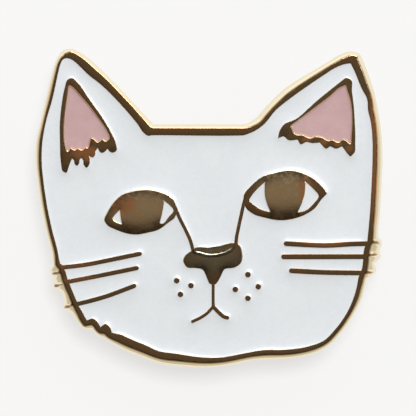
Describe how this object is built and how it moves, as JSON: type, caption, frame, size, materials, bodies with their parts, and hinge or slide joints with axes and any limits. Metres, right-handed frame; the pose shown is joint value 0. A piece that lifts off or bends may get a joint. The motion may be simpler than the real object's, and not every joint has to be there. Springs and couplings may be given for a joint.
{
  "type": "enamel pin",
  "caption": "Cat-face enamel pin: a struck metal plate with enamel cells, needle posts and butterfly clutches, worn on cloth.",
  "frame": {"origin": "centre of the plate's back face, midway between the two needle posts", "axes": "+Z out of the enamelled front, +Y towards the ears, +X to the viewer's right"},
  "size_m": [0.0318, 0.0291, 0.0099],
  "materials": {
    "antique_gold": "polished antique gold plating",
    "bright_gold": "bright gold plating",
    "solder": "dull silver solder",
    "white_enamel": "glossy soft enamel",
    "pink_enamel": "glossy soft enamel"
  },
  "bodies": {
    "pin": {"base_plate": "antique_gold", "enamel_face": "white_enamel", "enamel_white_left_eye_outer": "white_enamel", "enamel_white_left_eye_inner": "white_enamel", "enamel_white_right_eye_inner": "white_enamel", "enamel_white_right_eye_outer": "white_enamel", "enamel_pink_left_ear": "pink_enamel", "enamel_pink_right_ear": "pink_enamel", "post_left": "bright_gold", "post_right": "bright_gold", "solder_left": "solder", "solder_right": "solder"},
    "left_clutch": {"clutch_shell_left": "bright_gold", "clutch_disc_left": "bright_gold"},
    "right_clutch": {"clutch_shell_right": "bright_gold", "clutch_disc_right": "bright_gold"},
    "left_upper_wing": {"wing_left_upper": "bright_gold"},
    "left_lower_wing": {"wing_left_lower": "bright_gold"},
    "right_upper_wing": {"wing_right_upper": "bright_gold"},
    "right_lower_wing": {"wing_right_lower": "bright_gold"}
  },
  "joints": [
    {"name": "left_clutch_slide", "type": "slide", "parent": "pin", "child": "left_clutch", "axis": [0, 0, -1], "range_m": [-0.0021, 0.007]},
    {"name": "right_clutch_slide", "type": "slide", "parent": "pin", "child": "right_clutch", "axis": [0, 0, -1], "range_m": [-0.0021, 0.007]},
    {"name": "left_upper_wing_squeeze", "type": "hinge", "parent": "left_clutch", "child": "left_upper_wing", "pos_m": [-0.008, 0.00298, -0.00451], "axis": [-1, 0, 0], "range_deg": [0, 12], "stiffness_Nm_per_rad": 0.01},
    {"name": "left_lower_wing_squeeze", "type": "hinge", "parent": "left_clutch", "child": "left_lower_wing", "pos_m": [-0.008, -0.00298, -0.00451], "axis": [1, 0, 0], "range_deg": [0, 12], "stiffness_Nm_per_rad": 0.01},
    {"name": "right_upper_wing_squeeze", "type": "hinge", "parent": "right_clutch", "child": "right_upper_wing", "pos_m": [0.008, 0.00298, -0.00451], "axis": [-1, 0, 0], "range_deg": [0, 12], "stiffness_Nm_per_rad": 0.01},
    {"name": "right_lower_wing_squeeze", "type": "hinge", "parent": "right_clutch", "child": "right_lower_wing", "pos_m": [0.008, -0.00298, -0.00451], "axis": [1, 0, 0], "range_deg": [0, 12], "stiffness_Nm_per_rad": 0.01}
  ],
  "couplings": [
    {"joint": "left_lower_wing_squeeze", "follows": "left_upper_wing_squeeze", "ratio": 1},
    {"joint": "right_lower_wing_squeeze", "follows": "right_upper_wing_squeeze", "ratio": 1}
  ]
}
